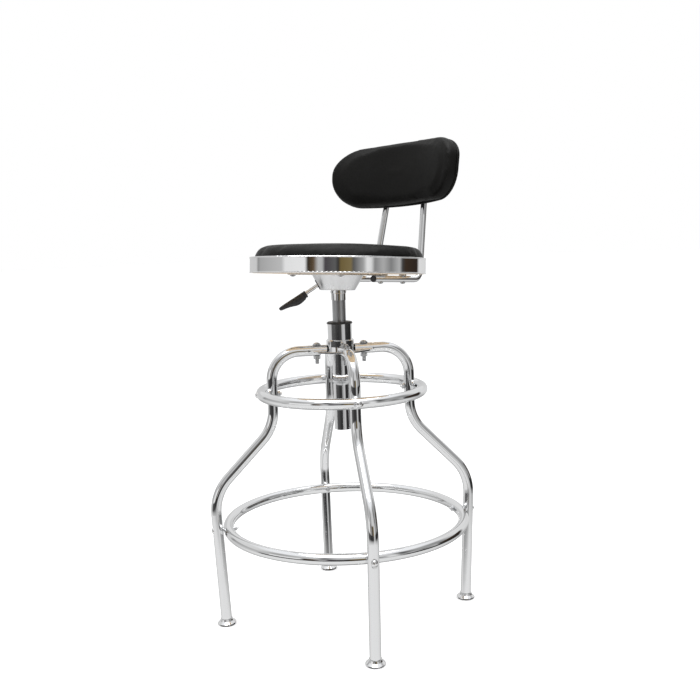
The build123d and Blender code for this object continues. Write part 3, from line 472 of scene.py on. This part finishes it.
def make_grip():
    outward = Vector((math.cos(LEVER_TURN), math.sin(LEVER_TURN) * math.cos(SEAT_TILT),
                      -math.sin(LEVER_TURN) * math.sin(SEAT_TILT)))
    up = Vector((0, math.sin(SEAT_TILT), math.cos(SEAT_TILT)))
    across = up.cross(outward)
    ahead = outward * math.cos(LEVER_SLOPE) - up * math.sin(LEVER_SLOPE)
    above = outward * math.sin(LEVER_SLOPE) + up * math.cos(LEVER_SLOPE)
    bend_along, bend_up = LEVER_BEND
    root = Vector((0, 0, SEAT_HEIGHT)) + outward * GRIP_START + up * (
        bend_up - (GRIP_START - bend_along) * math.tan(LEVER_SLOPE))
    length = (GRIP_END - GRIP_START) / math.cos(LEVER_SLOPE)
    rings = []
    for share, top, bottom, half in GRIP_SECTIONS:
        middle, half_height = (top + bottom) / 2, (top - bottom) / 2
        ring = []
        for k in range(32):
            a = 2 * math.pi * k / 32
            c, s = math.cos(a), math.sin(a)
            side = math.copysign(abs(c) ** 0.8, c) * half
            rise = math.copysign(abs(s) ** 0.8, s) * half_height + middle
            ring.append(root + ahead * (share * length) + across * side + above * rise)
        rings.append(ring)
    piece = skin_rings("lever_grip", rings)
    refine(piece, 2)
    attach(piece, "lever")
    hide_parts("lever_handle")
    piece.data.materials.append(materials["black_plastic"])


make_cushion()
make_backrest()
make_grip()


# ---- Stage: floor, light and camera ----
def make_floor():
    bpy.ops.mesh.primitive_plane_add(size=60, location=(0, 0, 0))
    floor = bpy.context.object
    floor.name = "stage_floor"
    floor.visible_glossy = False        # the metal mirrors the painted studio instead
    material, tree, shader = new_material("stage_floor")
    coords = object_coords(tree)
    tree.links.new(mix_colours(tree, noise_value(tree, coords, 3, 3), (0.93, 0.93, 0.93), (0.91, 0.91, 0.91)),
                   shader.inputs["Base Color"])
    shader.inputs["Roughness"].default_value = 0.9
    shader.inputs["Specular IOR Level"].default_value = 0.1
    shader.inputs["Emission Color"].default_value = (1, 1, 1, 1)
    shader.inputs["Emission Strength"].default_value = FLOOR_GLOW
    floor.data.materials.append(material)


def colour_ramp(tree, factor, stops, interpolation="LINEAR"):
    """Ramp from (place, colour or grey level) stops."""
    node = add_node(tree, "ShaderNodeValToRGB")
    ramp = node.color_ramp
    ramp.interpolation = interpolation
    while len(ramp.elements) < len(stops):
        ramp.elements.new(0.5)
    for element, (place, colour) in zip(ramp.elements, stops):
        element.position = place
        element.color = (colour, colour, colour, 1) if isinstance(colour, float) else (*colour, 1)
    tree.links.new(factor, node.inputs[0])
    return node.outputs["Color"]


# Painted brightness round the studio, by degrees to the right of the stool's side that VIEW_TURN faces.
# It was tuned so that the chrome mirrors a dim room; it is fixed in the world.
ROOM = [(-180, 0.62), (-130, 0.66), (-124, 0.30), (-118, 0.42), (-76, 0.56), (-70, 0.86), (-42, 0.90),
        (-38, (0.035, 0.028, 0.02)), (-30, (0.12, 0.08, 0.045)), (-24, 0.55), (-19, 0.50),
        (-16, (0.07, 0.062, 0.07)), (-3, 0.12), (1, 0.035), (4, (0.17, 0.125, 0.05)), (17, (0.22, 0.17, 0.08)),
        (20, 0.10), (33, 0.40), (38, 0.85), (43, 0.80), (48, 0.26), (60, 0.46), (72, 0.24), (86, 0.50),
        (91, 0.06), (97, (0.045, 0.03, 0.02)), (124, (0.03, 0.022, 0.018)), (130, 0.80), (150, 0.75),
        (180, 0.62)]
ROOM_LOW = [(-180, 0.75), (-88, 0.60), (-80, 0.10), (-44, 0.07), (-20, 0.03), (14, 0.06), (21, 0.50),
            (46, 0.60), (54, 0.03), (122, 0.02), (131, 0.70), (180, 0.75)]
FLOOR_SEEN = [(-180, 0.36), (-146, 0.46), (-112, 0.80), (-60, 0.86), (60, 0.84), (108, 0.74), (140, 0.46),
              (180, 0.36)]
ROOM_HIGH = [(-180, 0.80), (-90, 0.72), (-70, 0.40), (-30, 0.62), (-22, 0.10), (-10, 0.55), (20, 0.75),
             (44, 0.60), (52, 0.08), (70, 0.40), (100, 0.30), (122, 0.80), (180, 0.80)]


def make_world():
    """A pale studio for the metal to mirror, with a white backdrop for direct view."""
    world = bpy.data.worlds.new("studio")
    bpy.context.scene.world = world
    world.use_nodes = True
    tree = world.node_tree
    tree.nodes.clear()
    coords = add_node(tree, "ShaderNodeTexCoord").outputs["Generated"]
    turned = add_node(tree, "ShaderNodeMapping", vector_type="POINT")
    turned.inputs["Rotation"].default_value = (0, 0, math.pi / 2 - VIEW_TURN)
    tree.links.new(coords, turned.inputs["Vector"])
    split = add_node(tree, "ShaderNodeSeparateXYZ")
    tree.links.new(turned.outputs["Vector"], split.inputs[0])
    angle = add_node(tree, "ShaderNodeMath", operation="ARCTAN2")
    tree.links.new(split.outputs["Y"], angle.inputs[0])
    tree.links.new(split.outputs["X"], angle.inputs[1])
    around = remap(tree, angle.outputs[0], 0, 1, -math.pi, math.pi)
    height = add_node(tree, "ShaderNodeMath", operation="ARCSINE")
    tree.links.new(split.outputs["Z"], height.inputs[0])

    def level(low, high):
        return remap(tree, height.outputs[0], 0, 1, math.radians(low), math.radians(high))

    def over(factor, below, above):
        node = add_node(tree, "ShaderNodeMix", data_type="RGBA")
        tree.links.new(factor, node.inputs["Factor"])
        for socket, colour in ((node.inputs[6], below), (node.inputs[7], above)):
            if isinstance(colour, tuple):
                socket.default_value = (*colour, 1)
            else:
                tree.links.new(colour, socket)
        return node.outputs[2]

    room = colour_ramp(tree, around, [((a + 180) / 360, c) for a, c in ROOM])
    room_low = colour_ramp(tree, around, [((a + 180) / 360, c) for a, c in ROOM_LOW])
    room_high = colour_ramp(tree, around, [((a + 180) / 360, c) for a, c in ROOM_HIGH])
    floor_seen = colour_ramp(tree, around, [((a + 180) / 360, c) for a, c in FLOOR_SEEN])
    sky = over(level(-20, -13), floor_seen, room_low)
    sky = over(level(-5.0, -3.4), sky, room)
    sky = over(level(13, 16), sky, room_high)
    sky = over(level(38, 52), sky, (0.97, 0.98, 1.0))
    rays = add_node(tree, "ShaderNodeLightPath")
    seen = over(rays.outputs["Is Camera Ray"], sky, (1.0, 1.0, 1.0))
    background = add_node(tree, "ShaderNodeBackground", Strength=1.0)
    tree.links.new(seen, background.inputs["Color"])
    output = add_node(tree, "ShaderNodeOutputWorld")
    tree.links.new(background.outputs[0], output.inputs["Surface"])


def make_light(name, place, aim, size, power):
    data = bpy.data.lights.new(name, "AREA")
    data.shape = "RECTANGLE"
    data.size, data.size_y = size
    data.energy = power
    lamp = bpy.data.objects.new(name, data)
    bpy.context.scene.collection.objects.link(lamp)
    lamp.location = place
    lamp.rotation_euler = (Vector(aim) - Vector(place)).to_track_quat("-Z", "Y").to_euler()


def make_camera():
    right = Vector((math.cos(VIEW_TURN), math.sin(VIEW_TURN), 0))
    ahead = Vector((-math.sin(VIEW_TURN), math.cos(VIEW_TURN), 0))
    level = right * math.sin(VIEW_YAW) + ahead * math.cos(VIEW_YAW)
    forward = level * math.cos(VIEW_PITCH) - Vector((0, 0, math.sin(VIEW_PITCH)))
    side = right * math.cos(VIEW_YAW) - ahead * math.sin(VIEW_YAW)
    up = side.cross(forward)
    rolled_side = side * math.cos(VIEW_ROLL) + up * math.sin(VIEW_ROLL)
    rolled_up = up * math.cos(VIEW_ROLL) - side * math.sin(VIEW_ROLL)
    data = bpy.data.cameras.new("camera")
    data.lens = LENS
    data.sensor_width = 36
    camera = bpy.data.objects.new("camera", data)
    bpy.context.scene.collection.objects.link(camera)
    turn = Matrix((rolled_side, rolled_up, -forward)).transposed().to_4x4()
    place = right * VIEW_SIDE - ahead * VIEW_DISTANCE + Vector((0, 0, VIEW_HEIGHT))
    camera.matrix_world = Matrix.Translation(place) @ turn
    bpy.context.scene.camera = camera


make_floor()
make_world()
make_light("overhead", (0.2, -0.3, 3.2), (0, 0, 0.4), (2.4, 2.4), 60)
make_camera()
bpy.context.scene.view_settings.view_transform = "Standard"
